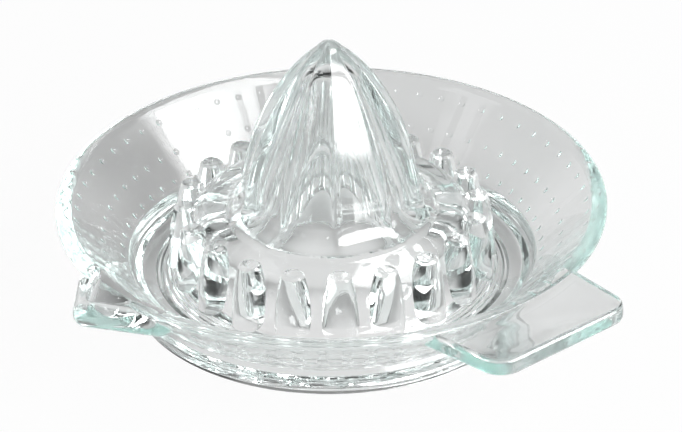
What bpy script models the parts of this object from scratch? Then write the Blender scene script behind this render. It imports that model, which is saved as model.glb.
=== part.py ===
"""A citrus juicer pressed from one piece of clear glass, in metres, +Z up.

A shallow flared bowl with a ten-sided reamer standing in its middle, a ring of pip teeth round the reamer,
a juice trough, a pouring spout on -Y and a flat handle tab on +X. The origin is on the surface that the
juicer stands on, at the middle of its outline seen from above.
"""

import math

import bmesh
import bpy
from mathutils import Matrix, Vector

MM = 0.001

# Widths from the bowl's axis outwards, at the height where each one starts
REAMER_RADIUS = 23.2 * MM
LEDGE_WIDTH = 10.8 * MM
SHOULDER_RUN = 4.6 * MM
TROUGH_WIDTH = 8.7 * MM
WALL = 3.3 * MM
FLARE_ANGLE = math.radians(45.0)

# Heights above the surface that the juicer stands on
TROUGH_FLOOR = 8.0 * MM
FLARE_FOOT_HEIGHT = 8.5 * MM
PLATEAU_HEIGHT = 23.8 * MM
RIM_HEIGHT = 25.9 * MM

# Rim, base side and foot
RIM_BAND = 1.6 * MM
LIP_ROUND = 0.8 * MM
BASE_SIDE_DRAFT = 2.0 * MM
FOOT_WIDTH = 5.0 * MM
FOOT_DEPTH = 1.8 * MM
FOOT_ROUND = 1.0 * MM

# Trough and plateau
TROUGH_OUTER_ROUND = 13.0 * MM
SHOULDER_FOOT_ROUND = 4.0 * MM
PLATEAU_CROWN = 0.1 * MM
PLATEAU_ROUND = 6.0 * MM

# Reamer, whose crests follow one curve up to a round tip
REAMER_HEIGHT = 45.0 * MM
REAMER_BULGE = 1.8
REAMER_POINT = 0.75
REAMER_FOOT_ROUND = 7.0 * MM
REAMER_FOOT_POWER = 2.5
TIP_ROUND = 3.7 * MM
RIB_COUNT = 10
FACET_HOLLOW = 0.3 * MM

# Hollow under the middle and inside the reamer
SHOULDER_WALL = 2.2 * MM
PLATEAU_THICKNESS = 4.6 * MM
HOLLOW_SIDE_HEIGHT = 8.7 * MM
HOLLOW_LEAN = math.radians(45.0)
HOLLOW_DRAFT = math.radians(8.0)
HOLLOW_ROUND = 5.0 * MM
CORE_RADIUS = 16.8 * MM
CORE_MOUTH_ROUND = 8.8 * MM
CORE_WAIST_INSET = 6.6 * MM
CORE_WAIST_DROP = 20.6 * MM
CORE_WAIST_ROUND = 30.0 * MM
CORE_TIP_RADIUS = 5.4 * MM
CORE_TIP_ROUND = 5.2 * MM
CORE_TIP_GLASS = 8.6 * MM

# Pip teeth
TOOTH_COUNT = 20
TOOTH_OUTSET = 2.3 * MM
TOOTH_RISE = 0.8 * MM
TOOTH_TOP_RADIUS = 2.75 * MM
TOOTH_FOOT_RADIUS = 4.7 * MM
TOOTH_CHAMFER = 0.5 * MM
TOOTH_DIMPLE_RADIUS = 1.4 * MM
TOOTH_DIMPLE_DEPTH = 0.4 * MM
TOOTH_ROOT = 1.5 * MM

# Handle tab
HANDLE_LENGTH = 17.6 * MM
HANDLE_END_WIDTH = 41.2 * MM
HANDLE_TAPER = math.radians(5.0)
HANDLE_CORNER = 6.2 * MM
HANDLE_THICKNESS = 4.2 * MM
HANDLE_EDGE_ROUND = 1.9 * MM
HANDLE_TOP_DROP = 0.2 * MM
HANDLE_TILT = math.radians(4.0)

# Spout, whose body is the skin round a few balls of one radius
SPOUT_LENGTH = 9.4 * MM
SPOUT_WIDTH = 26.6 * MM
SPOUT_EDGE_RADIUS = 3.4 * MM
SPOUT_TIP_DROP = 0.6 * MM
SPOUT_SIDE_DROP = 1.3 * MM
SPOUT_SIDE_INSET = 2.4 * MM
SPOUT_ROOT_DROP = 3.0 * MM
SPOUT_ROOT_INSET = 6.6 * MM
SPOUT_ROOT_SPREAD = 1.5 * MM
CHANNEL_MOUTH_DEPTH = 1.5 * MM
CHANNEL_TIP_DEPTH = 2.4 * MM
CHANNEL_WALL = 2.4 * MM
CHANNEL_TIP_WALL = 3.6 * MM
CHANNEL_ROUND = 1.8 * MM

# Facets
TURN_STEPS = RIB_COUNT * 6
REAMER_RINGS = 10
TOOTH_STEPS = 12
TOOTH_RINGS = 3
ARC_STEP = math.radians(30.0)
EDGE_STEPS = 2
BALL_SEGMENTS = 12
BALL_RINGS = 8
SHARP_ANGLE = math.radians(35.0)

# How far a cutting tool reaches past what it cuts, and how near points are that count as one
CUT_CLEAR = 10.0 * MM
WELD_REACH = 0.01 * MM

# Sizes that follow
PLATEAU_RADIUS = REAMER_RADIUS + LEDGE_WIDTH
SHOULDER_FOOT_RADIUS = PLATEAU_RADIUS + SHOULDER_RUN
WALL_FOOT_RADIUS = SHOULDER_FOOT_RADIUS + TROUGH_WIDTH
WALL_ACROSS = WALL / math.sin(FLARE_ANGLE)
FLARE_TOP = RIM_HEIGHT - RIM_BAND
RIM_RADIUS = WALL_FOOT_RADIUS + WALL_ACROSS + (FLARE_TOP - TROUGH_FLOOR) / math.tan(FLARE_ANGLE)
FOOT_RADIUS = RIM_RADIUS - (FLARE_TOP - FLARE_FOOT_HEIGHT) / math.tan(FLARE_ANGLE) - BASE_SIDE_DRAFT
TIP_HEIGHT = PLATEAU_HEIGHT + REAMER_HEIGHT
TOOTH_TOP = PLATEAU_HEIGHT + TOOTH_RISE
HANDLE_REACH = RIM_RADIUS + HANDLE_LENGTH
SPOUT_REACH = RIM_RADIUS + SPOUT_LENGTH

# The bowl's axis, seen from the middle of the outline
AXIS_X = -HANDLE_LENGTH / 2
AXIS_Y = SPOUT_LENGTH / 2

GLASS = {"color": (0.88, 0.95, 0.94, 1.0), "roughness": 0.02, "ior": 1.52}


def clear_scene():
    """Remove what is in the scene."""
    for item in list(bpy.data.objects):
        bpy.data.objects.remove(item, do_unlink=True)


def new_collection(name):
    """Make a collection in the scene."""
    collection = bpy.data.collections.new(name)
    bpy.context.scene.collection.children.link(collection)
    return collection


def new_object(name, mesh, collection, parent):
    """Put a mesh or a curve in the scene under the bowl's axis."""
    item = bpy.data.objects.new(name, mesh)
    item.parent = parent
    collection.objects.link(item)
    return item


def glass_material():
    """Clear glass with a faint green cast."""
    material = bpy.data.materials.new("clear_glass")
    material.use_nodes = True
    shader = material.node_tree.nodes["Principled BSDF"]
    shader.inputs["Base Color"].default_value = GLASS["color"]
    shader.inputs["Roughness"].default_value = GLASS["roughness"]
    shader.inputs["Metallic"].default_value = 0.0
    shader.inputs["IOR"].default_value = GLASS["ior"]
    shader.inputs["Transmission Weight"].default_value = 1.0
    return material


def half_angle(spots, index):
    """Half the angle between the two sides that meet at a corner of a path."""
    before = spots[index - 1] - spots[index]
    after = spots[(index + 1) % len(spots)] - spots[index]
    return before.angle(after) / 2


def round_lengths(spots, radii):
    """How far each rounding reaches along its sides, where two share a side that is long enough."""
    lengths = [radius / math.tan(half_angle(spots, index)) if radius > 0 else 0
               for index, radius in enumerate(radii)]
    for index in range(len(spots)):
        following = (index + 1) % len(spots)
        side = (spots[following] - spots[index]).length
        over = (lengths[index] + lengths[following]) / side
        if over > 1:
            lengths[index] /= over
            lengths[following] /= over
    return lengths


def round_corner(spots, index, length):
    """Points of an arc that rounds a corner of a path, starting at a length from the corner."""
    corner = spots[index]
    back = (spots[index - 1] - corner).normalized()
    ahead = (spots[(index + 1) % len(spots)] - corner).normalized()
    half = back.angle(ahead) / 2
    centre = corner + (back + ahead).normalized() * length / math.cos(half)
    start = corner + back * length - centre
    turn = start.angle_signed(corner + ahead * length - centre)
    steps = math.ceil(abs(turn) / ARC_STEP)
    return [centre + Matrix.Rotation(-turn * step / steps, 2) @ start for step in range(steps + 1)]


def rounded(points):
    """A closed path in the plane from (x, y, radius) points, each corner rounded by its radius."""
    spots = [Vector((x, y)) for x, y, radius in points]
    lengths = round_lengths(spots, [radius for x, y, radius in points])
    path = []
    for index, length in enumerate(lengths):
        path += round_corner(spots, index, length) if length > 0 else [spots[index]]
    return path


def turned(name, path, collection, parent, steps=TURN_STEPS):
    """Turn a path about the axis; on the outer side it runs from top to bottom."""
    mesh = bpy.data.meshes.new(name)
    edges = [(index, index + 1) for index in range(len(path) - 1)]
    mesh.from_pydata([(spot[0], 0.0, spot[1]) for spot in path], edges, [])
    item = new_object(name, mesh, collection, parent)
    screw = item.modifiers.new("turn", "SCREW")
    screw.axis = "Z"
    screw.angle = 2 * math.pi
    screw.steps = steps
    screw.render_steps = steps
    screw.use_merge_vertices = True
    screw.merge_threshold = WELD_REACH
    return item


def evaluated_mesh(item):
    """A new mesh of what an object's modifiers or curve make."""
    bpy.context.view_layer.update()
    graph = bpy.context.evaluated_depsgraph_get()
    return bpy.data.meshes.new_from_object(item.evaluated_get(graph))


def applied(item):
    """Replace an object's mesh by its mesh with the modifiers applied."""
    mesh = evaluated_mesh(item)
    item.modifiers.clear()
    item.data = mesh
    return item


def as_tool(item):
    """Mark an object as one that only shapes another."""
    item.hide_render = True
    item.display_type = "WIRE"
    return item


def combine(target, tool, operation):
    """Add a tool to the target or cut it out, then weld the points that fall together."""
    modifier = target.modifiers.new(tool.name, "BOOLEAN")
    modifier.operation = operation
    modifier.solver = "EXACT"
    modifier.object = tool
    weld = target.modifiers.new("weld", "WELD")
    weld.merge_threshold = WELD_REACH


def make_blank(parts, axis):
    """The glass before its bowl is cut: outer wall, foot, and a block in the middle for plateau and reamer."""
    block = SHOULDER_FOOT_RADIUS
    above = TIP_HEIGHT + CUT_CLEAR / 2
    path = rounded([
        (0, above, 0),
        (block, above, 0),
        (block, RIM_HEIGHT, 0),
        (RIM_RADIUS, RIM_HEIGHT, LIP_ROUND),
        (RIM_RADIUS, FLARE_TOP, 0),
        (FOOT_RADIUS + BASE_SIDE_DRAFT, FLARE_FOOT_HEIGHT, 0),
        (FOOT_RADIUS, 0, FOOT_ROUND),
        (0, 0, 0),
    ])
    return turned("juicer", path, parts, axis)


def inner_wall_radius(height):
    """Radius of the flared wall's inner face at a height."""
    return WALL_FOOT_RADIUS + (height - TROUGH_FLOOR) / math.tan(FLARE_ANGLE)


def reamer_radius(height):
    """Radius of the reamer's crests at a height above the plateau."""
    crest = REAMER_RADIUS * (1 - (height / REAMER_HEIGHT) ** REAMER_BULGE) ** REAMER_POINT
    below_tip = min(REAMER_HEIGHT - height, TIP_ROUND)
    tip = math.sqrt(below_tip * (2 * TIP_ROUND - below_tip))
    return max(crest, tip) if below_tip < TIP_ROUND else crest


def foot_flare(height):
    """How far the foot spreads into the plateau at a height above it."""
    below = (REAMER_FOOT_ROUND - height) / REAMER_FOOT_ROUND
    return REAMER_FOOT_ROUND * (1 - (1 - below ** REAMER_FOOT_POWER) ** (1 / REAMER_FOOT_POWER))


def reamer_path():
    """The crests' outline from the plateau up to the tip, with its foot spread into the plateau."""
    path = []
    steps = math.ceil(math.pi / 2 / ARC_STEP)
    for step in range(steps):
        height = REAMER_FOOT_ROUND * (1 - math.cos(math.pi / 2 * step / steps))
        path.append((reamer_radius(height) + foot_flare(height), PLATEAU_HEIGHT + height))
    lowest = REAMER_FOOT_ROUND / REAMER_HEIGHT
    for ring in range(REAMER_RINGS + 1):
        share = math.sin(math.pi / 2 * ring / REAMER_RINGS)
        height = REAMER_HEIGHT * (lowest + (1 - lowest) * share)
        path.append((reamer_radius(height), PLATEAU_HEIGHT + height))
    return path


def press_facets(mesh):
    """Press the sides between the crests flat, and hollow them a little."""
    half_pitch = math.pi / RIB_COUNT
    foot = REAMER_RADIUS + REAMER_FOOT_ROUND
    for vertex in mesh.vertices:
        radius = math.hypot(vertex.co.x, vertex.co.y)
        if radius > foot + WELD_REACH or vertex.co.z > TIP_HEIGHT + WELD_REACH:
            continue
        off_middle = math.atan2(vertex.co.y, vertex.co.x) % (2 * half_pitch) - half_pitch
        hollow = FACET_HOLLOW / REAMER_RADIUS * (1 - (off_middle / half_pitch) ** 2)
        share = math.cos(half_pitch) / math.cos(off_middle) - hollow
        vertex.co.x *= share
        vertex.co.y *= share


def make_bowl_space(tools, axis):
    """The space over the inner wall, the trough, the plateau and the reamer."""
    above = TIP_HEIGHT + CUT_CLEAR
    mouth = inner_wall_radius(RIM_HEIGHT) + LIP_ROUND
    path = rounded([
        (0, above, 0),
        (mouth, above, 0),
        (mouth, RIM_HEIGHT, 0),
        (inner_wall_radius(RIM_HEIGHT - LIP_ROUND), RIM_HEIGHT - LIP_ROUND, 0),
        (WALL_FOOT_RADIUS, TROUGH_FLOOR, TROUGH_OUTER_ROUND),
        (SHOULDER_FOOT_RADIUS, TROUGH_FLOOR, SHOULDER_FOOT_ROUND),
        (PLATEAU_RADIUS, PLATEAU_HEIGHT - PLATEAU_CROWN, PLATEAU_ROUND),
        (REAMER_RADIUS + REAMER_FOOT_ROUND, PLATEAU_HEIGHT, 0),
    ])[:-1]
    space = applied(turned("bowl_space", path + reamer_path(), tools, axis))
    press_facets(space.data)
    return as_tool(space)


def tooth_radius(height):
    """Radius of a tooth's side, which swells towards its foot."""
    share = (height - TROUGH_FLOOR) / (TOOTH_TOP - TROUGH_FLOOR)
    return TOOTH_FOOT_RADIUS - (TOOTH_FOOT_RADIUS - TOOTH_TOP_RADIUS) * share ** 2


def make_tooth(tools, axis):
    """One tooth on the axis: a swelling post with a chamfered, dimpled top."""
    chamfer_foot = TOOTH_TOP - TOOTH_CHAMFER
    foot = TROUGH_FLOOR - TOOTH_ROOT
    path = [
        (0, TOOTH_TOP - TOOTH_DIMPLE_DEPTH),
        (TOOTH_DIMPLE_RADIUS, TOOTH_TOP),
        (TOOTH_TOP_RADIUS - TOOTH_CHAMFER, TOOTH_TOP),
    ]
    for ring in range(TOOTH_RINGS + 1):
        height = chamfer_foot + (foot - chamfer_foot) * ring / TOOTH_RINGS
        path.append((tooth_radius(height), height))
    path.append((0, foot))
    return applied(turned("tooth", path, tools, axis, TOOTH_STEPS))


def make_teeth(tools, axis):
    """The ring of pip teeth round the plateau's edge."""
    tooth = make_tooth(tools, axis)
    half_facet = Matrix.Rotation(math.pi / TOOTH_STEPS, 4, "Z")
    ring = bmesh.new()
    for index in range(TOOTH_COUNT):
        turn = Matrix.Rotation(2 * math.pi * index / TOOTH_COUNT, 4, "Z")
        copy = tooth.data.copy()
        copy.transform(turn @ Matrix.Translation((PLATEAU_RADIUS + TOOTH_OUTSET, 0, 0)) @ half_facet)
        ring.from_mesh(copy)
        bpy.data.meshes.remove(copy)
    mesh = bpy.data.meshes.new("teeth")
    ring.to_mesh(mesh)
    ring.free()
    bpy.data.objects.remove(tooth)
    return as_tool(new_object("teeth", mesh, tools, axis))


def make_underside(tools, axis):
    """The hollow under the base: foot recess, space under the plateau and the reamer's core."""
    foot_inner = FOOT_RADIUS - FOOT_WIDTH
    ceiling = PLATEAU_HEIGHT - PLATEAU_THICKNESS
    side_foot = SHOULDER_FOOT_RADIUS - SHOULDER_WALL
    side_top = side_foot - (HOLLOW_SIDE_HEIGHT - FOOT_DEPTH) * math.tan(HOLLOW_DRAFT)
    ceiling_edge = side_top - (ceiling - HOLLOW_SIDE_HEIGHT) * math.tan(HOLLOW_LEAN)
    core_top = TIP_HEIGHT - CORE_TIP_GLASS
    path = rounded([
        (0, core_top, 0),
        (CORE_TIP_RADIUS, core_top, CORE_TIP_ROUND),
        (CORE_RADIUS - CORE_WAIST_INSET, core_top - CORE_WAIST_DROP, CORE_WAIST_ROUND),
        (CORE_RADIUS, ceiling, CORE_MOUTH_ROUND),
        (ceiling_edge, ceiling, HOLLOW_ROUND),
        (side_top, HOLLOW_SIDE_HEIGHT, HOLLOW_ROUND),
        (side_foot, FOOT_DEPTH, 0),
        (foot_inner - FOOT_DEPTH, FOOT_DEPTH, 0),
        (foot_inner, 0, 0),
        (foot_inner, -CUT_CLEAR, 0),
        (0, -CUT_CLEAR, 0),
    ])
    return as_tool(turned("underside", path, tools, axis))


def flat_outline(name, corners, collection, parent):
    """A closed, filled flat curve through (x, y, radius) corners, each rounded by its radius."""
    path = rounded(corners)
    curve = bpy.data.curves.new(name, "CURVE")
    curve.dimensions = "2D"
    curve.fill_mode = "BOTH"
    spline = curve.splines.new("POLY")
    spline.points.add(len(path) - 1)
    for point, spot in zip(spline.points, path):
        point.co = (spot.x, spot.y, 0, 1)
    spline.use_cyclic_u = True
    return new_object(name, curve, collection, parent)


def curve_to_mesh(item):
    """Turn a filled curve object into a welded mesh object of the same name and place."""
    mesh = evaluated_mesh(item)
    body = bmesh.new()
    body.from_mesh(mesh)
    bmesh.ops.remove_doubles(body, verts=body.verts, dist=WELD_REACH)
    bmesh.ops.recalc_face_normals(body, faces=body.faces)
    body.to_mesh(mesh)
    body.free()
    name, collection, parent = item.name, item.users_collection[0], item.parent
    place = item.matrix_basis.copy()
    bpy.data.objects.remove(item)
    made = new_object(name, mesh, collection, parent)
    made.matrix_basis = place
    return made


def make_handle(tools, axis):
    """The flat tab with rounded edges, tilted up a little and run into the bowl's wall."""
    end = HANDLE_END_WIDTH / 2
    wall_middle = RIM_RADIUS - WALL_ACROSS
    root = math.sqrt(wall_middle ** 2 - end ** 2)
    half = end + (HANDLE_REACH - root) * math.tan(HANDLE_TAPER)
    tab = flat_outline("handle_tab", [
        (root - RIM_RADIUS, -half, 0),
        (HANDLE_LENGTH, -end, HANDLE_CORNER),
        (HANDLE_LENGTH, end, HANDLE_CORNER),
        (root - RIM_RADIUS, half, 0),
    ], tools, axis)
    tab.data.offset = -HANDLE_EDGE_ROUND
    tab.data.bevel_depth = HANDLE_EDGE_ROUND
    tab.data.bevel_resolution = EDGE_STEPS
    tab.data.extrude = HANDLE_THICKNESS / 2 - HANDLE_EDGE_ROUND
    tab.location = (RIM_RADIUS, 0, RIM_HEIGHT - HANDLE_TOP_DROP - HANDLE_THICKNESS / 2)
    tab.rotation_euler = (0, -HANDLE_TILT, 0)
    return as_tool(curve_to_mesh(tab))


def hull_of_balls(name, balls, radius, collection, parent):
    """The tight skin round some balls of one radius, given by their centres."""
    body = bmesh.new()
    for centre in balls:
        bmesh.ops.create_uvsphere(body, u_segments=BALL_SEGMENTS, v_segments=BALL_RINGS, radius=radius,
                                  matrix=Matrix.Translation(centre))
    bmesh.ops.delete(body, geom=body.edges[:], context="EDGES_FACES")
    bmesh.ops.convex_hull(body, input=body.verts)
    inside = [vertex for vertex in body.verts if not vertex.link_faces]
    bmesh.ops.delete(body, geom=inside, context="VERTS")
    bmesh.ops.recalc_face_normals(body, faces=body.faces)
    mesh = bpy.data.meshes.new(name)
    body.to_mesh(mesh)
    body.free()
    return as_tool(new_object(name, mesh, collection, parent))


def make_spout(tools, axis):
    """The spout's body: a rounded wedge from the flared wall out to the lip."""
    top = RIM_HEIGHT - SPOUT_EDGE_RADIUS
    half = SPOUT_WIDTH / 2 - SPOUT_EDGE_RADIUS
    balls = [Vector((0, SPOUT_EDGE_RADIUS - SPOUT_REACH, top - SPOUT_TIP_DROP))]
    for side in (-1, 1):
        root = side * (half + SPOUT_ROOT_SPREAD)
        balls.append(Vector((side * half, SPOUT_SIDE_INSET - RIM_RADIUS, top - SPOUT_SIDE_DROP)))
        balls.append(Vector((root, SPOUT_ROOT_INSET - RIM_RADIUS, top - SPOUT_ROOT_DROP)))
    return hull_of_balls("spout", balls, SPOUT_EDGE_RADIUS, tools, axis)


def make_channel(tools, axis):
    """The space of the spout's shallow channel, open above and towards the bowl."""
    tip = SPOUT_REACH - CHANNEL_TIP_WALL - CHANNEL_ROUND
    tip_floor = RIM_HEIGHT - CHANNEL_TIP_DEPTH
    mouth = inner_wall_radius(RIM_HEIGHT) - CHANNEL_TIP_DEPTH
    mouth_floor = RIM_HEIGHT - CHANNEL_MOUTH_DEPTH
    half = SPOUT_WIDTH / 2 - CHANNEL_WALL - CHANNEL_ROUND
    balls = []
    for height in (CHANNEL_ROUND, CHANNEL_ROUND + CUT_CLEAR):
        balls.append(Vector((0, -tip, tip_floor + height)))
        balls.append(Vector((-half, -mouth, mouth_floor + height)))
        balls.append(Vector((half, -mouth, mouth_floor + height)))
    return hull_of_balls("spout_channel", balls, CHANNEL_ROUND, tools, axis)


def main():
    """Build the juicer."""
    clear_scene()
    parts = new_collection("citrus_juicer")
    tools = new_collection("tools")
    axis = bpy.data.objects.new("bowl_axis", None)
    axis.location = (AXIS_X, AXIS_Y, 0)
    parts.objects.link(axis)
    juicer = make_blank(parts, axis)
    combine(juicer, make_handle(tools, axis), "UNION")
    combine(juicer, make_spout(tools, axis), "UNION")
    combine(juicer, make_channel(tools, axis), "DIFFERENCE")
    combine(juicer, make_bowl_space(tools, axis), "DIFFERENCE")
    combine(juicer, make_teeth(tools, axis), "UNION")
    combine(juicer, make_underside(tools, axis), "DIFFERENCE")
    applied(juicer)
    juicer.data.shade_smooth()
    juicer.data.set_sharp_from_angle(angle=SHARP_ANGLE)
    juicer.data.materials.clear()
    juicer.data.materials.append(glass_material())


main()
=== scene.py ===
"""The looks of the glass citrus juicer: one clear moulding on a pale floor in soft studio light.

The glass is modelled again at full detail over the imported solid, from the same sizes but for sharper edges on
the tab. Lengths are in metres.
"""

import math

import bmesh
import bpy
from mathutils import Matrix, Vector

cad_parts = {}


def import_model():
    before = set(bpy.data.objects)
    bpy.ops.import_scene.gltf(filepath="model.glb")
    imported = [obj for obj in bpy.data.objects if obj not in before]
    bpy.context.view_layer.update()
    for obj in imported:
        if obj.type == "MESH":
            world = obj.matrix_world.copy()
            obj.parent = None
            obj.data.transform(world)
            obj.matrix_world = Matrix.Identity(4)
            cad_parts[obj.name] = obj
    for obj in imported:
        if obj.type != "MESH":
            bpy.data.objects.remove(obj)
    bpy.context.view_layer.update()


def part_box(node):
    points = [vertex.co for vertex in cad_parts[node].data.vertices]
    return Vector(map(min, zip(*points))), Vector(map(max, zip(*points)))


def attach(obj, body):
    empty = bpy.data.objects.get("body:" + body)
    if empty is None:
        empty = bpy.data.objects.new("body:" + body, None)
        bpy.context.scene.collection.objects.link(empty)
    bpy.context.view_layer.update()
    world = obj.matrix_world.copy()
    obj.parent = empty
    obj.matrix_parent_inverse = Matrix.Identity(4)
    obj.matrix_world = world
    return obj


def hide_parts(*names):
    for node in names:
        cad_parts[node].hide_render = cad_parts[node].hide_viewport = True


MM = 0.001

# Widths from the bowl's axis outwards, at the height where each one starts
REAMER_RADIUS = 23.2 * MM
LEDGE_WIDTH = 10.8 * MM
SHOULDER_RUN = 4.6 * MM
TROUGH_WIDTH = 8.7 * MM
WALL = 3.3 * MM
FLARE_ANGLE = math.radians(45.0)

# Heights above the floor
TROUGH_FLOOR = 8.0 * MM
FLARE_FOOT_HEIGHT = 8.5 * MM
PLATEAU_HEIGHT = 23.8 * MM
RIM_HEIGHT = 25.9 * MM

# Rim, base side and foot
RIM_BAND = 1.6 * MM
LIP_ROUND = 0.8 * MM
BAND_ROUND = 0.6 * MM
KNEE_ROUND = 1.5 * MM
BASE_SIDE_DRAFT = 2.0 * MM
FOOT_WIDTH = 5.0 * MM
FOOT_DEPTH = 1.8 * MM
FOOT_ROUND = 1.0 * MM

# Trough and plateau
TROUGH_OUTER_ROUND = 13.0 * MM
SHOULDER_FOOT_ROUND = 4.0 * MM
PLATEAU_CROWN = 0.1 * MM
PLATEAU_ROUND = 6.0 * MM

# Reamer, whose crests follow one curve up to a round tip
REAMER_HEIGHT = 45.0 * MM
REAMER_BULGE = 1.8
REAMER_POINT = 0.75
REAMER_FOOT_ROUND = 7.0 * MM
REAMER_FOOT_POWER = 2.5
TIP_ROUND = 3.7 * MM
RIB_COUNT = 10
FACET_HOLLOW = 0.3 * MM
RIB_RISE = 0.25 * MM
RIB_HALF_WIDTH = math.radians(3.5)
RIB_FOOT_SPREAD = 0.7
RIB_FOOT_WIDTH = math.radians(4.0)
CREST_ROUND = math.radians(1.2)

# Hollow under the middle and inside the reamer
SHOULDER_WALL = 2.2 * MM
PLATEAU_THICKNESS = 4.6 * MM
HOLLOW_SIDE_HEIGHT = 8.7 * MM
HOLLOW_LEAN = math.radians(45.0)
HOLLOW_DRAFT = math.radians(8.0)
HOLLOW_ROUND = 5.0 * MM
HOLLOW_FOOT_ROUND = 1.0 * MM
RING_COUNT = 4
RING_RISE = 0.4 * MM
RING_ROUND = 0.5 * MM
CORE_RADIUS = 16.8 * MM
CORE_MOUTH_ROUND = 8.8 * MM
CORE_WAIST_INSET = 6.6 * MM
CORE_WAIST_DROP = 20.6 * MM
CORE_WAIST_ROUND = 30.0 * MM
CORE_TIP_RADIUS = 5.4 * MM
CORE_TIP_ROUND = 5.2 * MM
CORE_TIP_GLASS = 8.6 * MM

# Pip teeth
TOOTH_COUNT = 20
TOOTH_OUTSET = 2.3 * MM
TOOTH_RISE = 0.8 * MM
TOOTH_TOP_RADIUS = 2.75 * MM
TOOTH_FOOT_RADIUS = 4.7 * MM
TOOTH_CHAMFER = 0.5 * MM
TOOTH_DIMPLE_RADIUS = 1.4 * MM
TOOTH_DIMPLE_DEPTH = 0.4 * MM
TOOTH_FOOT_ROUND = 0.6 * MM
TOOTH_ROOT = 1.5 * MM

# Handle tab
HANDLE_LENGTH = 17.6 * MM
HANDLE_END_WIDTH = 41.2 * MM
HANDLE_TAPER = math.radians(5.0)
HANDLE_CORNER = 6.2 * MM
HANDLE_THICKNESS = 4.2 * MM
HANDLE_EDGE_ROUND = 1.2 * MM
HANDLE_TOP_DROP = 0.2 * MM
HANDLE_TILT = math.radians(4.0)

# Spout, whose body is the skin round a few balls of one radius
SPOUT_LENGTH = 9.4 * MM
SPOUT_WIDTH = 26.6 * MM
SPOUT_EDGE_RADIUS = 3.4 * MM
SPOUT_TIP_DROP = 0.6 * MM
SPOUT_SIDE_DROP = 1.3 * MM
SPOUT_SIDE_INSET = 2.4 * MM
SPOUT_ROOT_DROP = 3.0 * MM
SPOUT_ROOT_INSET = 6.6 * MM
SPOUT_ROOT_SPREAD = 1.5 * MM
CHANNEL_MOUTH_DEPTH = 1.5 * MM
CHANNEL_TIP_DEPTH = 2.4 * MM
CHANNEL_WALL = 2.4 * MM
CHANNEL_TIP_WALL = 3.6 * MM
CHANNEL_ROUND = 1.8 * MM

# Rows of small raised dots on the outside of the flared wall
DOT_COUNT = 65
DOT_RADIUS = 0.9 * MM
DOT_RISE = 0.22 * MM
DOT_ROOT = 0.8 * MM
DOT_ROW_HEIGHTS = (20.9 * MM, 14.6 * MM, 9.9 * MM)
DOT_PHASE = math.radians(180.2)

# Facets
TURN_STEPS = 360
ARC_STEP = math.radians(7.5)
REAMER_RINGS = 36
TOOTH_STEPS = 32
TOOTH_RINGS = 10
TOOTH_FOOT_RINGS = 4
DOT_STEPS = 16
DOT_RINGS = 4
EDGE_STEPS = 6
BALL_SEGMENTS = 40
BALL_RINGS = 20
SHARP_ANGLE = math.radians(32.0)
CREST_SAMPLES = 4

# How far a cutting tool reaches past what it cuts and the reamer's block past the reamer, and how near
# points are that count as one
CUT_CLEAR = 6.0 * MM
BLOCK_CLEAR = 1.0 * MM
WELD_REACH = 0.002 * MM

# Sizes that follow
PLATEAU_RADIUS = REAMER_RADIUS + LEDGE_WIDTH
SHOULDER_FOOT_RADIUS = PLATEAU_RADIUS + SHOULDER_RUN
WALL_FOOT_RADIUS = SHOULDER_FOOT_RADIUS + TROUGH_WIDTH
WALL_ACROSS = WALL / math.sin(FLARE_ANGLE)
FLARE_TOP = RIM_HEIGHT - RIM_BAND
RIM_RADIUS = WALL_FOOT_RADIUS + WALL_ACROSS + (FLARE_TOP - TROUGH_FLOOR) / math.tan(FLARE_ANGLE)
FOOT_RADIUS = RIM_RADIUS - (FLARE_TOP - FLARE_FOOT_HEIGHT) / math.tan(FLARE_ANGLE) - BASE_SIDE_DRAFT
TIP_HEIGHT = PLATEAU_HEIGHT + REAMER_HEIGHT
TOOTH_TOP = PLATEAU_HEIGHT + TOOTH_RISE
HANDLE_REACH = RIM_RADIUS + HANDLE_LENGTH
SPOUT_REACH = RIM_RADIUS + SPOUT_LENGTH

# Camera, round the bowl's axis; the bearing is from +X towards +Y, and the sensor's width in millimetres
CAMERA_BEARING = math.radians(-38.76)
CAMERA_ELEVATION = math.radians(30.231)
CAMERA_DISTANCE = 747.5 * MM
CAMERA_ROLL = math.radians(-0.875)
TARGET_HEIGHT = 25.57 * MM
IMAGE_WIDTH, IMAGE_HEIGHT = 682, 432
FOCAL_PX = 3011.7
TARGET_PX = (331.4, 195.8)
SENSOR_WIDTH = 36.0
CAMERA_NEAR = 0.01

# Glass: how it bends light, what it lets through where it is thick, and its faint tint in patches
GLASS_IOR = 1.52
GLASS_ABSORB = (0.70, 0.87, 0.84, 1.0)
GLASS_DENSITY = 7.0
GLASS_TINT = (0.985, 0.995, 0.993, 1.0)
WHITE = (1.0, 1.0, 1.0, 1.0)

# Patterns in the glass: scales in features per metre, levels of detail, and the middle of a noise's range
NOISE_LOW, NOISE_HIGH = 0.3, 0.7
TINT_SCALE, TINT_DETAIL = 40.0, 2.0
PATCH_SCALE, PATCH_DETAIL = 90.0, 3.0
PATCH_ROUGHNESS = 0.02
WAVE_SCALE, WAVE_DETAIL = 120.0, 1.0
WAVE_HEIGHT = 0.05 * MM
LINE_DETAIL = 2.0

# Fine upright lines on the reamer and the teeth; their height is a share of the waves'
STREAK_SCALE = 700.0
STREAK_STRETCH = 0.06
STREAK_HEIGHT = 0.12
STREAK_REACH = 42.0 * MM
STREAK_FADE = 2.0 * MM

# Fine lines along the rim and the edges of the tab and the spout; their height is a share of the waves'
RIM_LINE_SCALE = 1100.0
RIM_LINE_STRETCH = 0.04
RIM_LINE_HEIGHT = 0.35
RIM_LINE_REACH = 5.0 * MM

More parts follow.
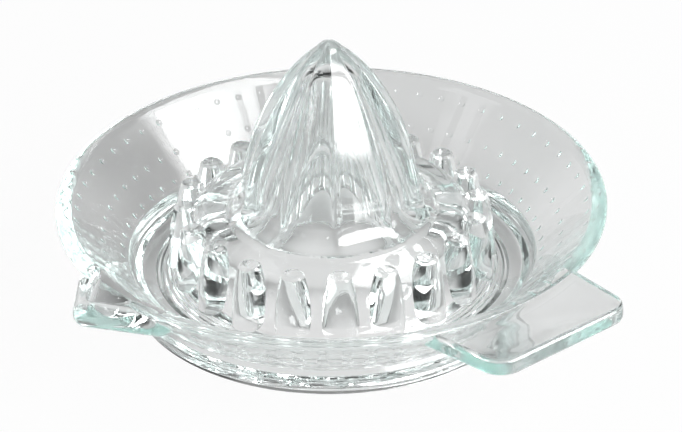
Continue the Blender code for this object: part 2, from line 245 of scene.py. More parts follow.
# Floor, part matte and part glowing white. The shares of white are for the camera, by way of the glass, and by
# way of the glass under the bowl, where the larger share is a painted pool of light; the level is that of the
# white by way of the glass
FLOOR_SIZE = 3.0
FLOOR_GAP = 0.1 * MM
FLOOR_COLOUR = (0.37, 0.375, 0.375, 1.0)
FLOOR_SEEN = 0.96
FLOOR_THROUGH = 0.40
# A painted pool of light on the floor under the bowl, seen by way of the glass: its share, reach and shift
# towards the front
FLOOR_PAINTED_POOL = 0.95
FLOOR_PAINTED_POOL_REACH = 54.0 * MM
FLOOR_PAINTED_POOL_SHIFT = 14.0 * MM
FLOOR_LEVEL = 0.8

# Studio: levels of light, and where each light part starts and is full, as sines of elevations; the
# backdrop's side and middle are cosines of the angle from straight behind the object
STUDIO_DARK, STUDIO_LIGHT = 0.03, 1.0
BACKDROP_TOP, BACKDROP_BODY = 0.7, 0.3
BACKDROP_SIDE, BACKDROP_MIDDLE = 0.2, 0.95
HORIZON_TOP, HORIZON_BODY, HORIZON_SHARE = 0.3, 0.15, 0.5
OVERHEAD_EDGE, OVERHEAD_BODY, OVERHEAD_SHARE = 0.8, 0.9, 0.35

# Softboxes; the fade is a share of their width and height
SOFTBOX_DISTANCE = 1.2
SOFTBOX_FADE = 0.18
KEY_BEARING = CAMERA_BEARING + math.radians(60.0)
KEY_ELEVATION = math.radians(34.0)
KEY_SIZE = (1.5, 1.15)
KEY_RADIANCE = 14.0
FILL_BEARING = CAMERA_BEARING - math.radians(70.0)
FILL_ELEVATION = math.radians(35.0)
FILL_SIZE = (0.6, 0.6)
FILL_RADIANCE = 1.5

# How many times light may bounce, because total reflections in the glass count too
LIGHT_BOUNCES = 64

# Sockets of a colour Mix node
MIX_SHARE, MIX_FIRST, MIX_SECOND = 0, 6, 7
MIX_RESULT = 2

UP = Vector((0, 0, 1))


def new_object(name, data):
    """A new object in the scene: a mesh, a curve, a lamp or a camera."""
    item = bpy.data.objects.new(name, data)
    bpy.context.scene.collection.objects.link(item)
    return item


def half_angle(spots, index):
    """Half the angle between the two sides that meet at a corner of a path."""
    before = spots[index - 1] - spots[index]
    after = spots[(index + 1) % len(spots)] - spots[index]
    return before.angle(after) / 2


def round_lengths(spots, radii):
    """How far each rounding reaches along its sides, where two share a side that is long enough."""
    lengths = [radius / math.tan(half_angle(spots, index)) if radius > 0 else 0
               for index, radius in enumerate(radii)]
    for index in range(len(spots)):
        following = (index + 1) % len(spots)
        side = (spots[following] - spots[index]).length
        over = (lengths[index] + lengths[following]) / side
        if over > 1:
            lengths[index] /= over
            lengths[following] /= over
    return lengths


def round_corner(spots, index, length):
    """Points of an arc that rounds a corner of a path, starting at a length from the corner."""
    corner = spots[index]
    back = (spots[index - 1] - corner).normalized()
    ahead = (spots[(index + 1) % len(spots)] - corner).normalized()
    half = back.angle(ahead) / 2
    centre = corner + (back + ahead).normalized() * length / math.cos(half)
    start = corner + back * length - centre
    turn = start.angle_signed(corner + ahead * length - centre)
    steps = math.ceil(abs(turn) / ARC_STEP)
    return [centre + Matrix.Rotation(-turn * step / steps, 2) @ start for step in range(steps + 1)]


def rounded(points):
    """A closed path in the plane from (x, y, radius) points, each corner rounded by its radius."""
    spots = [Vector((x, y)) for x, y, radius in points]
    lengths = round_lengths(spots, [radius for x, y, radius in points])
    path = []
    for index, length in enumerate(lengths):
        path += round_corner(spots, index, length) if length > 0 else [spots[index]]
    return path


def turned(name, path, steps=TURN_STEPS):
    """Turn a path about the axis; on the outer side it runs from top to bottom."""
    mesh = bpy.data.meshes.new(name)
    edges = [(index, index + 1) for index in range(len(path) - 1)]
    mesh.from_pydata([(spot[0], 0.0, spot[1]) for spot in path], edges, [])
    item = new_object(name, mesh)
    screw = item.modifiers.new("turn", "SCREW")
    screw.axis = "Z"
    screw.angle = 2 * math.pi
    screw.steps = steps
    screw.render_steps = steps
    screw.use_merge_vertices = True
    screw.merge_threshold = WELD_REACH
    return applied(item)


def evaluated_mesh(item):
    """A new mesh from an object, with its modifiers or its curve's bevel."""
    bpy.context.view_layer.update()
    graph = bpy.context.evaluated_depsgraph_get()
    return bpy.data.meshes.new_from_object(item.evaluated_get(graph))


def applied(item):
    """Replace an object's mesh by its mesh with the modifiers applied."""
    mesh = evaluated_mesh(item)
    item.modifiers.clear()
    item.data = mesh
    return item


def combine(target, tool, operation):
    """Add a tool to the target or cut it out, and remove the tool."""
    modifier = target.modifiers.new(tool.name, "BOOLEAN")
    modifier.operation = operation
    modifier.solver = "MANIFOLD"
    modifier.object = tool
    applied(target)
    bpy.data.objects.remove(tool)


def make_blank():
    """The glass before its bowl is cut: outer wall, foot, and a block in the middle for the reamer."""
    block = REAMER_RADIUS + REAMER_FOOT_ROUND + BLOCK_CLEAR
    above = TIP_HEIGHT + BLOCK_CLEAR
    path = rounded([
        (0, above, 0),
        (block, above, 0),
        (block, RIM_HEIGHT, 0),
        (RIM_RADIUS, RIM_HEIGHT, LIP_ROUND),
        (RIM_RADIUS, FLARE_TOP, BAND_ROUND),
        (FOOT_RADIUS + BASE_SIDE_DRAFT, FLARE_FOOT_HEIGHT, KNEE_ROUND),
        (FOOT_RADIUS, 0, FOOT_ROUND),
        (0, 0, 0),
    ])
    return turned("glass", path)


def inner_wall_radius(height):
    """Radius of the flared wall's inner face at a height."""
    return WALL_FOOT_RADIUS + (height - TROUGH_FLOOR) / math.tan(FLARE_ANGLE)


def outer_wall_radius(height):
    """Radius of the flared wall's outer face at a height."""
    return RIM_RADIUS - (FLARE_TOP - height) / math.tan(FLARE_ANGLE)


def reamer_radius(height):
    """Radius of the ribs' crests at a height above the plateau."""
    crest = REAMER_RADIUS * (1 - (height / REAMER_HEIGHT) ** REAMER_BULGE) ** REAMER_POINT
    below_tip = min(REAMER_HEIGHT - height, TIP_ROUND)
    tip = math.sqrt(below_tip * (2 * TIP_ROUND - below_tip))
    return max(crest, tip) if below_tip < TIP_ROUND else crest


def foot_flare(height):
    """How far the foot spreads into the plateau at a height above it."""
    below = min(max(REAMER_FOOT_ROUND - height, 0), REAMER_FOOT_ROUND)
    share = (1 - (below / REAMER_FOOT_ROUND) ** REAMER_FOOT_POWER) ** (1 / REAMER_FOOT_POWER)
    return REAMER_FOOT_ROUND * (1 - share)


def reamer_path():
    """The reamer's outline from the plateau up to the tip, with its foot spread into the plateau."""
    path = []
    steps = math.ceil(math.pi / 2 / ARC_STEP)
    for step in range(steps):
        height = REAMER_FOOT_ROUND * (1 - math.cos(math.pi / 2 * step / steps))
        path.append((reamer_radius(height) + foot_flare(height), PLATEAU_HEIGHT + height))
    lowest = REAMER_FOOT_ROUND / REAMER_HEIGHT
    for ring in range(REAMER_RINGS + 1):
        share = math.sin(math.pi / 2 * ring / REAMER_RINGS)
        height = REAMER_HEIGHT * (lowest + (1 - lowest) * share)
        path.append((reamer_radius(height), PLATEAU_HEIGHT + height))
    return path


def near_crest(off_middle, width):
    """How near an angle is to a crest, from 1 on it to 0 at a width from it."""
    off_crest = math.pi / RIB_COUNT - abs(off_middle)
    return math.cos(math.pi / 2 * min(off_crest / width, 1)) ** 2


def facet_share(angle):
    """Radius at an angle from a crest, as a share of the crest's: a slightly hollow side and a low rib."""
    half_pitch = math.pi / RIB_COUNT
    total = 0.0
    for sample in range(-CREST_SAMPLES, CREST_SAMPLES + 1):
        off_middle = (angle + CREST_ROUND * sample / CREST_SAMPLES) % (2 * half_pitch) - half_pitch
        flat = (1 - RIB_RISE / REAMER_RADIUS) * math.cos(half_pitch) / math.cos(off_middle)
        hollow = FACET_HOLLOW / REAMER_RADIUS * (1 - (off_middle / half_pitch) ** 2)
        total += flat - hollow + RIB_RISE / REAMER_RADIUS * near_crest(off_middle, RIB_HALF_WIDTH)
    return total / (2 * CREST_SAMPLES + 1)


def press_facets(mesh):
    """Press the flat sides and ribs into the turned reamer, with more of its points near the crests."""
    pitch = 2 * math.pi / RIB_COUNT
    foot = REAMER_RADIUS + REAMER_FOOT_ROUND
    for vertex in mesh.vertices:
        radius = math.hypot(vertex.co.x, vertex.co.y)
        if radius > foot + WELD_REACH or vertex.co.z > TIP_HEIGHT + WELD_REACH:
            continue
        side, angle = divmod(math.atan2(vertex.co.y, vertex.co.x) % (2 * math.pi), pitch)
        angle = pitch * (1 - math.cos(math.pi * angle / pitch)) / 2
        flare = foot_flare(vertex.co.z - PLATEAU_HEIGHT)
        kept = 1 - (1 - RIB_FOOT_SPREAD) * near_crest(angle - pitch / 2, RIB_FOOT_WIDTH)
        radius = (radius - flare) * facet_share(angle) + flare * kept
        vertex.co.x = radius * math.cos(side * pitch + angle)
        vertex.co.y = radius * math.sin(side * pitch + angle)


def make_bowl_space():
    """The space over the inner wall, the trough, the plateau and the reamer."""
    above = TIP_HEIGHT + CUT_CLEAR
    mouth = inner_wall_radius(RIM_HEIGHT) + LIP_ROUND
    path = rounded([
        (0, above, 0),
        (mouth, above, 0),
        (mouth, RIM_HEIGHT, 0),
        (inner_wall_radius(RIM_HEIGHT - LIP_ROUND), RIM_HEIGHT - LIP_ROUND, LIP_ROUND),
        (WALL_FOOT_RADIUS, TROUGH_FLOOR, TROUGH_OUTER_ROUND),
        (SHOULDER_FOOT_RADIUS, TROUGH_FLOOR, SHOULDER_FOOT_ROUND),
        (PLATEAU_RADIUS, PLATEAU_HEIGHT - PLATEAU_CROWN, PLATEAU_ROUND),
        (REAMER_RADIUS + REAMER_FOOT_ROUND, PLATEAU_HEIGHT, 0),
    ])[:-1]
    space = turned("bowl_space", path + reamer_path())
    press_facets(space.data)
    return space


def tooth_radius(height):
    """Radius of a tooth's side, which swells towards its foot."""
    share = (height - TROUGH_FLOOR) / (TOOTH_TOP - TROUGH_FLOOR)
    return TOOTH_FOOT_RADIUS - (TOOTH_FOOT_RADIUS - TOOTH_TOP_RADIUS) * share ** 2


def tooth_path():
    """Outline of a tooth: dimpled top, chamfer, swelling side, and a foot rounded into the trough."""
    side_foot = TROUGH_FLOOR + TOOTH_FOOT_ROUND
    side_top = TOOTH_TOP - TOOTH_CHAMFER
    path = [(0, TOOTH_TOP - TOOTH_DIMPLE_DEPTH)]
    for ring in range(1, TOOTH_FOOT_RINGS + 1):
        share = ring / TOOTH_FOOT_RINGS
        path.append((TOOTH_DIMPLE_RADIUS * share, TOOTH_TOP - TOOTH_DIMPLE_DEPTH * (1 - share ** 2)))
    path.append((TOOTH_TOP_RADIUS - TOOTH_CHAMFER, TOOTH_TOP))
    for ring in range(TOOTH_RINGS + 1):
        height = side_top + (side_foot - side_top) * ring / TOOTH_RINGS
        path.append((tooth_radius(height), height))
    for ring in range(1, TOOTH_FOOT_RINGS + 1):
        turn = math.pi / 2 * ring / TOOTH_FOOT_RINGS
        path.append((tooth_radius(side_foot) + TOOTH_FOOT_ROUND * (1 - math.cos(turn)),
                     side_foot - TOOTH_FOOT_ROUND * math.sin(turn)))
    foot = TROUGH_FLOOR - TOOTH_ROOT
    return path + [(path[-1][0], foot), (0, foot)]


def copies(name, piece, places):
    """One object with a copy of a piece's mesh at each place; the piece is removed."""
    body = bmesh.new()
    for place in places:
        mesh = piece.data.copy()
        mesh.transform(place)
        body.from_mesh(mesh)
        bpy.data.meshes.remove(mesh)
    bpy.data.objects.remove(piece)
    mesh = bpy.data.meshes.new(name)
    body.to_mesh(mesh)
    body.free()
    return new_object(name, mesh)


def around(count, phase=0.0):
    """Turns about the axis that share a circle evenly."""
    return [Matrix.Rotation(phase + 2 * math.pi * index / count, 4, "Z") for index in range(count)]


def make_teeth():
    """The ring of pip teeth round the plateau's edge."""
    outset = Matrix.Translation((PLATEAU_RADIUS + TOOTH_OUTSET, 0, 0))
    places = [turn @ outset for turn in around(TOOTH_COUNT)]
    return copies("teeth", turned("tooth", tooth_path(), TOOTH_STEPS), places)


def dot_path():
    """Outline of a dot, standing on its root with its foot at height 0."""
    ball = (DOT_RADIUS ** 2 + DOT_RISE ** 2) / (2 * DOT_RISE)
    reach = math.asin(DOT_RADIUS / ball)
    path = []
    for ring in range(DOT_RINGS + 1):
        turn = reach * ring / DOT_RINGS
        path.append((ball * math.sin(turn), ball * math.cos(turn) - ball + DOT_RISE))
    return path + [(DOT_RADIUS, -DOT_ROOT), (0, -DOT_ROOT)]


def make_dots():
    """The rows of dots, each dot square to the flared wall."""
    dot = turned("dot", dot_path(), DOT_STEPS)
    lean = Matrix.Rotation(math.pi - FLARE_ANGLE, 4, "Y")
    places = []
    for height in DOT_ROW_HEIGHTS:
        spot = Matrix.Translation((outer_wall_radius(height), 0, height))
        places += [turn @ spot @ lean for turn in around(DOT_COUNT, DOT_PHASE)]
    return copies("dots", dot, places)


def ring_corners(inner, outer):
    """Corners of the low rings pressed into the ceiling of the foot's recess, from the inside outwards."""
    pitch = (outer - inner) / RING_COUNT
    corners = []
    for ring in range(RING_COUNT):
        corners.append((inner + ring * pitch + pitch / 2, FOOT_DEPTH + RING_RISE, RING_ROUND))
        if ring < RING_COUNT - 1:
            corners.append((inner + (ring + 1) * pitch, FOOT_DEPTH, RING_ROUND))
    return corners


def make_underside():
    """The hollow under the base: foot recess, space under the plateau and the reamer's core."""
    foot_inner = FOOT_RADIUS - FOOT_WIDTH
    ceiling = PLATEAU_HEIGHT - PLATEAU_THICKNESS
    side_foot = SHOULDER_FOOT_RADIUS - SHOULDER_WALL
    side_top = side_foot - (HOLLOW_SIDE_HEIGHT - FOOT_DEPTH) * math.tan(HOLLOW_DRAFT)
    ceiling_edge = side_top - (ceiling - HOLLOW_SIDE_HEIGHT) * math.tan(HOLLOW_LEAN)
    core_top = TIP_HEIGHT - CORE_TIP_GLASS
    path = rounded([
        (0, core_top, 0),
        (CORE_TIP_RADIUS, core_top, CORE_TIP_ROUND),
        (CORE_RADIUS - CORE_WAIST_INSET, core_top - CORE_WAIST_DROP, CORE_WAIST_ROUND),
        (CORE_RADIUS, ceiling, CORE_MOUTH_ROUND),
        (ceiling_edge, ceiling, HOLLOW_ROUND),
        (side_top, HOLLOW_SIDE_HEIGHT, HOLLOW_ROUND),
        (side_foot, FOOT_DEPTH, HOLLOW_FOOT_ROUND),
        *ring_corners(side_foot, foot_inner - FOOT_DEPTH),
        (foot_inner - FOOT_DEPTH, FOOT_DEPTH, FOOT_ROUND),
        (foot_inner, 0, FOOT_ROUND / 2),
        (foot_inner, -CUT_CLEAR, 0),
        (0, -CUT_CLEAR, 0),
    ])
    return turned("underside", path)


def handle_path():
    """The tab's outline seen from above, with the rim at 0."""
    end = HANDLE_END_WIDTH / 2
    wall_middle = RIM_RADIUS - WALL_ACROSS
    root = math.sqrt(wall_middle ** 2 - end ** 2)
    half = end + (HANDLE_REACH - root) * math.tan(HANDLE_TAPER)
    return rounded([
        (root - RIM_RADIUS, -half, 0),
        (HANDLE_LENGTH, -end, HANDLE_CORNER),
        (HANDLE_LENGTH, end, HANDLE_CORNER),
        (root - RIM_RADIUS, half, 0),
    ])


def handle_mesh(path):
    """A flat plate with the tab's outline and rounded edges, its middle at height 0."""
    curve = bpy.data.curves.new("handle_tab", "CURVE")
    curve.dimensions = "2D"
    curve.fill_mode = "BOTH"
    spline = curve.splines.new("POLY")
    spline.points.add(len(path) - 1)
    for point, spot in zip(spline.points, path):
        point.co = (spot.x, spot.y, 0, 1)
    spline.use_cyclic_u = True
    curve.offset = -HANDLE_EDGE_ROUND
    curve.bevel_depth = HANDLE_EDGE_ROUND
    curve.bevel_resolution = EDGE_STEPS
    curve.extrude = HANDLE_THICKNESS / 2 - HANDLE_EDGE_ROUND
    outline = new_object("handle_outline", curve)
    mesh = evaluated_mesh(outline)
    bpy.data.objects.remove(outline)
    return mesh


def make_handle():
    """The flat tab with rounded edges, tilted up a little and run into the bowl's wall."""
    mesh = handle_mesh(handle_path())
    body = bmesh.new()
    body.from_mesh(mesh)
    bmesh.ops.remove_doubles(body, verts=body.verts, dist=WELD_REACH)
    bmesh.ops.recalc_face_normals(body, faces=body.faces)
    body.to_mesh(mesh)
    body.free()
    centre = Vector((RIM_RADIUS, 0, RIM_HEIGHT - HANDLE_TOP_DROP - HANDLE_THICKNESS / 2))
    mesh.transform(Matrix.Translation(centre) @ Matrix.Rotation(-HANDLE_TILT, 4, "Y"))
    return new_object("handle_tab", mesh)


def hull_of_balls(name, balls, radius):
    """The tight skin round some balls of one radius, given by their centres."""
    body = bmesh.new()
    for centre in balls:
        bmesh.ops.create_uvsphere(body, u_segments=BALL_SEGMENTS, v_segments=BALL_RINGS, radius=radius,
                                  matrix=Matrix.Translation(centre))
    bmesh.ops.delete(body, geom=body.edges[:], context="EDGES_FACES")
    bmesh.ops.convex_hull(body, input=body.verts)
    inside = [vertex for vertex in body.verts if not vertex.link_faces]
    bmesh.ops.delete(body, geom=inside, context="VERTS")
    bmesh.ops.recalc_face_normals(body, faces=body.faces)
    mesh = bpy.data.meshes.new(name)
    body.to_mesh(mesh)
    body.free()
    return new_object(name, mesh)


def make_spout():
    """The spout's body: a rounded wedge from the flared wall out to the lip."""
    top = RIM_HEIGHT - SPOUT_EDGE_RADIUS
    half = SPOUT_WIDTH / 2 - SPOUT_EDGE_RADIUS
    balls = [Vector((0, SPOUT_EDGE_RADIUS - SPOUT_REACH, top - SPOUT_TIP_DROP))]
    for side in (-1, 1):
        root = side * (half + SPOUT_ROOT_SPREAD)
        balls.append(Vector((side * half, SPOUT_SIDE_INSET - RIM_RADIUS, top - SPOUT_SIDE_DROP)))
        balls.append(Vector((root, SPOUT_ROOT_INSET - RIM_RADIUS, top - SPOUT_ROOT_DROP)))
    return hull_of_balls("spout", balls, SPOUT_EDGE_RADIUS)


def make_channel():
    """The space of the spout's shallow channel, open above and towards the bowl."""
    tip = SPOUT_REACH - CHANNEL_TIP_WALL - CHANNEL_ROUND
    tip_floor = RIM_HEIGHT - CHANNEL_TIP_DEPTH
    mouth = inner_wall_radius(RIM_HEIGHT) - CHANNEL_TIP_DEPTH
    mouth_floor = RIM_HEIGHT - CHANNEL_MOUTH_DEPTH
    half = SPOUT_WIDTH / 2 - CHANNEL_WALL - CHANNEL_ROUND
    balls = []
    for height in (CHANNEL_ROUND, CHANNEL_ROUND + CUT_CLEAR):
        balls.append(Vector((0, -tip, tip_floor + height)))
        balls.append(Vector((-half, -mouth, mouth_floor + height)))
        balls.append(Vector((half, -mouth, mouth_floor + height)))
    return hull_of_balls("spout_channel", balls, CHANNEL_ROUND)


def new_material(name):
    """A node material and its parts: the tree and the output node."""
    material = bpy.data.materials.new(name)
    material.use_nodes = True
    tree = material.node_tree
    tree.nodes.clear()
    return material, tree, tree.nodes.new("ShaderNodeOutputMaterial")


def maths(tree, operation, first, second):
    """A Math node's result; each input is a socket or a number."""
    node = tree.nodes.new("ShaderNodeMath")
    node.operation = operation
    for socket, value in zip(node.inputs, (first, second)):
        if isinstance(value, float):
            socket.default_value = value
        else:
            tree.links.new(value, socket)
    return node.outputs[0]


def vector_maths(tree, operation, vector, other=None):
    """A Vector Math node's result for a socket and, where the operation takes one, a fixed vector."""
    node = tree.nodes.new("ShaderNodeVectorMath")
    node.operation = operation
    tree.links.new(vector, node.inputs[0])
    if other is not None:
        node.inputs[1].default_value = other
    return node.outputs["Value" if operation in ("LENGTH", "DISTANCE", "DOT_PRODUCT") else "Vector"]


def between(tree, value, start, end, low=0.0, high=1.0):
    """Map a value smoothly from one range onto another."""
    node = tree.nodes.new("ShaderNodeMapRange")
    node.interpolation_type = "SMOOTHSTEP"
    for name, number in (("From Min", start), ("From Max", end), ("To Min", low), ("To Max", high)):
        node.inputs[name].default_value = number
    tree.links.new(value, node.inputs["Value"])
    return node.outputs["Result"]


def noise(tree, place, scale, detail):
    """A noise texture's value at a scale in features per metre."""
    node = tree.nodes.new("ShaderNodeTexNoise")
    node.inputs["Scale"].default_value = scale
    node.inputs["Detail"].default_value = detail
    tree.links.new(place, node.inputs["Vector"])
    return node.outputs["Fac"]


def ramp(tree, value, low, high):
    """Map the middle of a noise's range evenly onto another range."""
    node = tree.nodes.new("ShaderNodeMapRange")
    ends = (("From Min", NOISE_LOW), ("From Max", NOISE_HIGH), ("To Min", low), ("To Max", high))
    for name, number in ends:
        node.inputs[name].default_value = number
    tree.links.new(value, node.inputs["Value"])
    return node.outputs["Result"]


def path_output(tree, name):
    """One of the Light Path node's outputs."""
    return tree.nodes.new("ShaderNodeLightPath").outputs[name]


def show_mix(tree, share, first, second, output):
    """Show a mix of two shaders, with the second one's share from a socket."""
    mix = tree.nodes.new("ShaderNodeMixShader")
    for socket, source in zip(mix.inputs, (share, first.outputs[0], second.outputs[0])):
        tree.links.new(source, socket)
    tree.links.new(mix.outputs[0], output.inputs["Surface"])


def direction(bearing, elevation):
    """A unit vector at a bearing from +X towards +Y and an elevation."""
    return Vector((math.cos(bearing) * math.cos(elevation), math.sin(bearing) * math.cos(elevation),
                   math.sin(elevation)))


def streaks(tree, place):
    """Fine upright lines that the press leaves on the reamer and the teeth, fading out past them."""
    drawn = vector_maths(tree, "MULTIPLY", place, (1.0, 1.0, STREAK_STRETCH))
    off_axis = vector_maths(tree, "LENGTH", drawn)
    near = between(tree, off_axis, STREAK_REACH, STREAK_REACH - STREAK_FADE, 0.0, STREAK_HEIGHT)
    return maths(tree, "MULTIPLY", noise(tree, drawn, STREAK_SCALE, LINE_DETAIL), near)


def rim_lines(tree, place):
    """Fine lines along the rim and round the edges of the tab and the spout, fading out below and inside."""
    drawn = vector_maths(tree, "MULTIPLY", place, (RIM_LINE_STRETCH, RIM_LINE_STRETCH, 1.0))
    height = vector_maths(tree, "DOT_PRODUCT", place, UP)
    from_top = maths(tree, "ABSOLUTE", maths(tree, "SUBTRACT", height, RIM_HEIGHT), 0.0)
    off_axis = vector_maths(tree, "LENGTH", vector_maths(tree, "MULTIPLY", place, (1.0, 1.0, 0.0)))
    at_top = between(tree, from_top, RIM_LINE_REACH, RIM_LINE_REACH / 2, 0.0, RIM_LINE_HEIGHT)
    outside = between(tree, off_axis, RIM_RADIUS - RIM_LINE_REACH, RIM_RADIUS - RIM_LINE_REACH / 2)
    strength = maths(tree, "MULTIPLY", at_top, outside)
    return maths(tree, "MULTIPLY", noise(tree, drawn, RIM_LINE_SCALE, LINE_DETAIL), strength)


def glass_material(axis_spot):
    """Clear pressed glass: wavy from the mould, a little rougher in patches, blue-green where it is thick."""
    material, tree, output = new_material("clear_pressed_glass")
    place = tree.nodes.new("ShaderNodeTexCoord").outputs["Object"]
    shader = tree.nodes.new("ShaderNodeBsdfPrincipled")
    shader.inputs["IOR"].default_value = GLASS_IOR
    shader.inputs["Transmission Weight"].default_value = 1.0
    tint = tree.nodes.new("ShaderNodeMix")
    tint.data_type = "RGBA"
    tint.inputs[MIX_FIRST].default_value = GLASS_TINT
    tint.inputs[MIX_SECOND].default_value = WHITE
    clearer = ramp(tree, noise(tree, place, TINT_SCALE, TINT_DETAIL), 0.0, 1.0)
    tree.links.new(clearer, tint.inputs[MIX_SHARE])
    tree.links.new(tint.outputs[MIX_RESULT], shader.inputs["Base Color"])
    patches = ramp(tree, noise(tree, place, PATCH_SCALE, PATCH_DETAIL), 0.0, PATCH_ROUGHNESS)
    tree.links.new(patches, shader.inputs["Roughness"])
    bump = tree.nodes.new("ShaderNodeBump")
    bump.inputs["Strength"].default_value = 1.0
    bump.inputs["Distance"].default_value = WAVE_HEIGHT
    waves = noise(tree, place, WAVE_SCALE, WAVE_DETAIL)
    from_axis = vector_maths(tree, "SUBTRACT", place, axis_spot)
    lines = maths(tree, "ADD", streaks(tree, from_axis), rim_lines(tree, from_axis))
    tree.links.new(maths(tree, "ADD", waves, lines), bump.inputs["Height"])
    tree.links.new(bump.outputs["Normal"], shader.inputs["Normal"])
    absorb = tree.nodes.new("ShaderNodeVolumeAbsorption")
    absorb.inputs["Color"].default_value = GLASS_ABSORB
    absorb.inputs["Density"].default_value = GLASS_DENSITY
    tree.links.new(shader.outputs["BSDF"], output.inputs["Surface"])
    tree.links.new(absorb.outputs["Volume"], output.inputs["Volume"])
    return material


def make_glass(axis_spot):
    """The whole moulding as one closed mesh on the bowl's axis."""
    glass = make_blank()
    combine(glass, make_handle(), "UNION")
    combine(glass, make_spout(), "UNION")
    combine(glass, make_dots(), "UNION")
    combine(glass, make_channel(), "DIFFERENCE")
    combine(glass, make_bowl_space(), "DIFFERENCE")
    combine(glass, make_teeth(), "UNION")
    combine(glass, make_underside(), "DIFFERENCE")
    glass.data.transform(Matrix.Translation(axis_spot))
    glass.data.materials.clear()
    glass.data.materials.append(glass_material(axis_spot))
    glass.data.shade_smooth()
    glass.data.set_sharp_from_angle(angle=SHARP_ANGLE)
    return glass


def seen_share(tree, seen, through):
    """A share for rays straight from the camera, and another for rays by way of the glass."""
    glossy = path_output(tree, "Is Glossy Ray")
    by_glass = maths(tree, "MAXIMUM", glossy, path_output(tree, "Is Transmission Ray"))
    straight = maths(tree, "MULTIPLY", path_output(tree, "Is Camera Ray"), seen)
    return maths(tree, "MAXIMUM", straight, maths(tree, "MULTIPLY", by_glass, through))


def painted_pool_share(tree, axis_spot):
    """The share by way of the glass, greatest a little in front of the bowl's middle: a painted pool of light
    on the floor under the bowl.
    """
    place = tree.nodes.new("ShaderNodeNewGeometry").outputs["Position"]
    # The painted pool of light is centred a little in front of the bowl's middle
    middle = axis_spot + direction(CAMERA_BEARING, 0) * FLOOR_PAINTED_POOL_SHIFT
    off_middle = vector_maths(tree, "DISTANCE", place, middle)
    return between(tree, off_middle, FLOOR_PAINTED_POOL_REACH, FLOOR_PAINTED_POOL_REACH / 2, FLOOR_THROUGH, FLOOR_PAINTED_POOL)


def floor_material(axis_spot):
    """A floor that the camera sees as white, with the object's shadow on it and a painted pool of light under
    the bowl, seen by way of the glass.
    """
    material, tree, output = new_material("pale_floor")
    matte = tree.nodes.new("ShaderNodeBsdfDiffuse")
    matte.inputs["Color"].default_value = FLOOR_COLOUR
    white = tree.nodes.new("ShaderNodeEmission")
    strength = maths(tree, "MAXIMUM", path_output(tree, "Is Camera Ray"), FLOOR_LEVEL)
    tree.links.new(strength, white.inputs["Strength"])
    # The white share by way of the glass is raised under the bowl: a painted pool of light
    show_mix(tree, seen_share(tree, FLOOR_SEEN, painted_pool_share(tree, axis_spot)), matte, white, output)
    return material


def make_floor(axis_spot):
    """The floor, a plane just under the foot."""
    body = bmesh.new()
    bmesh.ops.create_grid(body, x_segments=1, y_segments=1, size=FLOOR_SIZE / 2)
    mesh = bpy.data.meshes.new("floor")
    body.to_mesh(mesh)
    body.free()
    floor = new_object("floor", mesh)
    floor.location.z = -FLOOR_GAP
    mesh.materials.append(floor_material(axis_spot))


def fading(tree, share):
    """How bright a softbox is at a share of the way across it: full in the middle, dark at its edges."""
    off_middle = maths(tree, "ABSOLUTE", maths(tree, "SUBTRACT", share, 0.5), 0.0)
    return between(tree, off_middle, 0.5, 0.5 - SOFTBOX_FADE)


def fade_edges(lamp):
    """Make a lamp's face fade out towards its edges, as a softbox's cloth does."""
    lamp.use_nodes = True
    tree = lamp.node_tree
    face = tree.nodes.new("ShaderNodeNewGeometry").outputs["Parametric"]
    spot = tree.nodes.new("ShaderNodeSeparateXYZ")
    tree.links.new(face, spot.inputs[0])
    strength = maths(tree, "MULTIPLY", fading(tree, spot.outputs["X"]), fading(tree, spot.outputs["Y"]))
    tree.links.new(strength, tree.nodes["Emission"].inputs["Strength"])


def softbox(name, bearing, elevation, size, radiance, target):
    """An area lamp that looks at the object, brightest over the middle of its face."""
    width, height = size
    lamp = bpy.data.lights.new(name, "AREA")
    lamp.shape = "RECTANGLE"
    lamp.size = width
    lamp.size_y = height
    lamp.energy = radiance * math.pi * width * height
    fade_edges(lamp)
    item = new_object(name, lamp)
    towards = direction(bearing, elevation)
    item.location = target + towards * SOFTBOX_DISTANCE
    item.rotation_euler = towards.to_track_quat("Z", "Y").to_euler()


def studio_share(tree):
    """How light the studio is in each direction: a backdrop behind, a paler horizon, a dim patch overhead."""
    looking = tree.nodes.new("ShaderNodeTexCoord").outputs["Generated"]
    height = vector_maths(tree, "DOT_PRODUCT", looking, UP)
    away = vector_maths(tree, "DOT_PRODUCT", looking, -direction(CAMERA_BEARING, 0))
    low = between(tree, height, BACKDROP_TOP, BACKDROP_BODY)
    behind = between(tree, away, BACKDROP_SIDE, BACKDROP_MIDDLE)
    horizon = between(tree, height, HORIZON_TOP, HORIZON_BODY, 0.0, HORIZON_SHARE)
    overhead = between(tree, height, OVERHEAD_EDGE, OVERHEAD_BODY, 0.0, OVERHEAD_SHARE)
    backdrop = maths(tree, "MULTIPLY", low, behind)
    return maths(tree, "MAXIMUM", backdrop, maths(tree, "MAXIMUM", horizon, overhead))


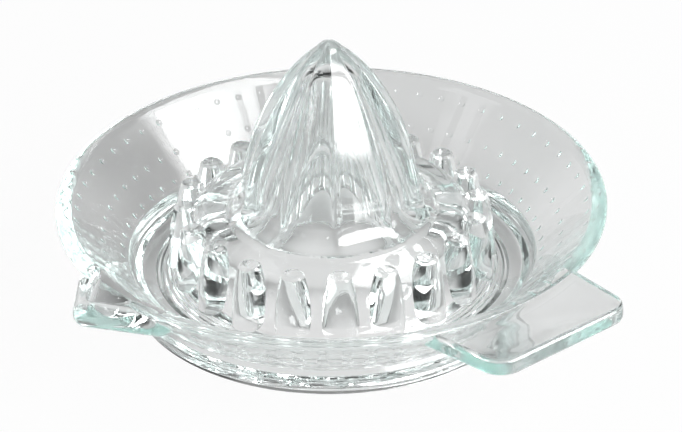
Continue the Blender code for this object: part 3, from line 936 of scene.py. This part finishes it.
def make_world():
    """The studio round the table, which the camera itself sees as white."""
    world = bpy.data.worlds.new("studio")
    bpy.context.scene.world = world
    world.use_nodes = True
    tree = world.node_tree
    tree.nodes.clear()
    output = tree.nodes.new("ShaderNodeOutputWorld")
    background = tree.nodes.new("ShaderNodeBackground")
    level = between(tree, studio_share(tree), 0.0, 1.0, STUDIO_DARK, STUDIO_LIGHT)
    tree.links.new(level, background.inputs["Strength"])
    white = tree.nodes.new("ShaderNodeBackground")
    white.inputs["Color"].default_value = WHITE
    show_mix(tree, path_output(tree, "Is Camera Ray"), background, white, output)


def make_camera(target):
    """The camera of the photograph, turned so that the target falls on its pixel."""
    data = bpy.data.cameras.new("camera")
    data.sensor_width = SENSOR_WIDTH
    data.lens = FOCAL_PX / IMAGE_WIDTH * SENSOR_WIDTH
    data.clip_start = CAMERA_NEAR
    camera = new_object("camera", data)
    back = direction(CAMERA_BEARING, CAMERA_ELEVATION)
    camera.location = target + back * CAMERA_DISTANCE
    yaw = -math.atan((IMAGE_WIDTH / 2 - TARGET_PX[0]) / FOCAL_PX)
    pitch = -math.atan((IMAGE_HEIGHT / 2 - TARGET_PX[1]) / FOCAL_PX)
    roll = Matrix.Rotation(CAMERA_ROLL, 3, "Z")
    turn = roll @ Matrix.Rotation(yaw, 3, "Y") @ Matrix.Rotation(pitch, 3, "X")
    camera.rotation_euler = (back.to_track_quat("Z", "Y").to_matrix() @ turn).to_euler()
    bpy.context.scene.camera = camera


def main():
    """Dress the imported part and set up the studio."""
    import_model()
    low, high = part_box("juicer")
    axis_spot = Vector((low.x + RIM_RADIUS, high.y - RIM_RADIUS, 0))
    target = axis_spot + Vector((0, 0, TARGET_HEIGHT))
    make_camera(target)
    glass = make_glass(axis_spot)
    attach(glass, "root")
    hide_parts("juicer")
    make_floor(axis_spot)
    make_world()
    softbox("key_softbox", KEY_BEARING, KEY_ELEVATION, KEY_SIZE, KEY_RADIANCE, target)
    softbox("fill_softbox", FILL_BEARING, FILL_ELEVATION, FILL_SIZE, FILL_RADIANCE, target)
    scene = bpy.context.scene
    scene.view_settings.view_transform = "Standard"
    scene.cycles.max_bounces = LIGHT_BOUNCES
    scene.cycles.transmission_bounces = LIGHT_BOUNCES
    scene.cycles.glossy_bounces = LIGHT_BOUNCES


main()
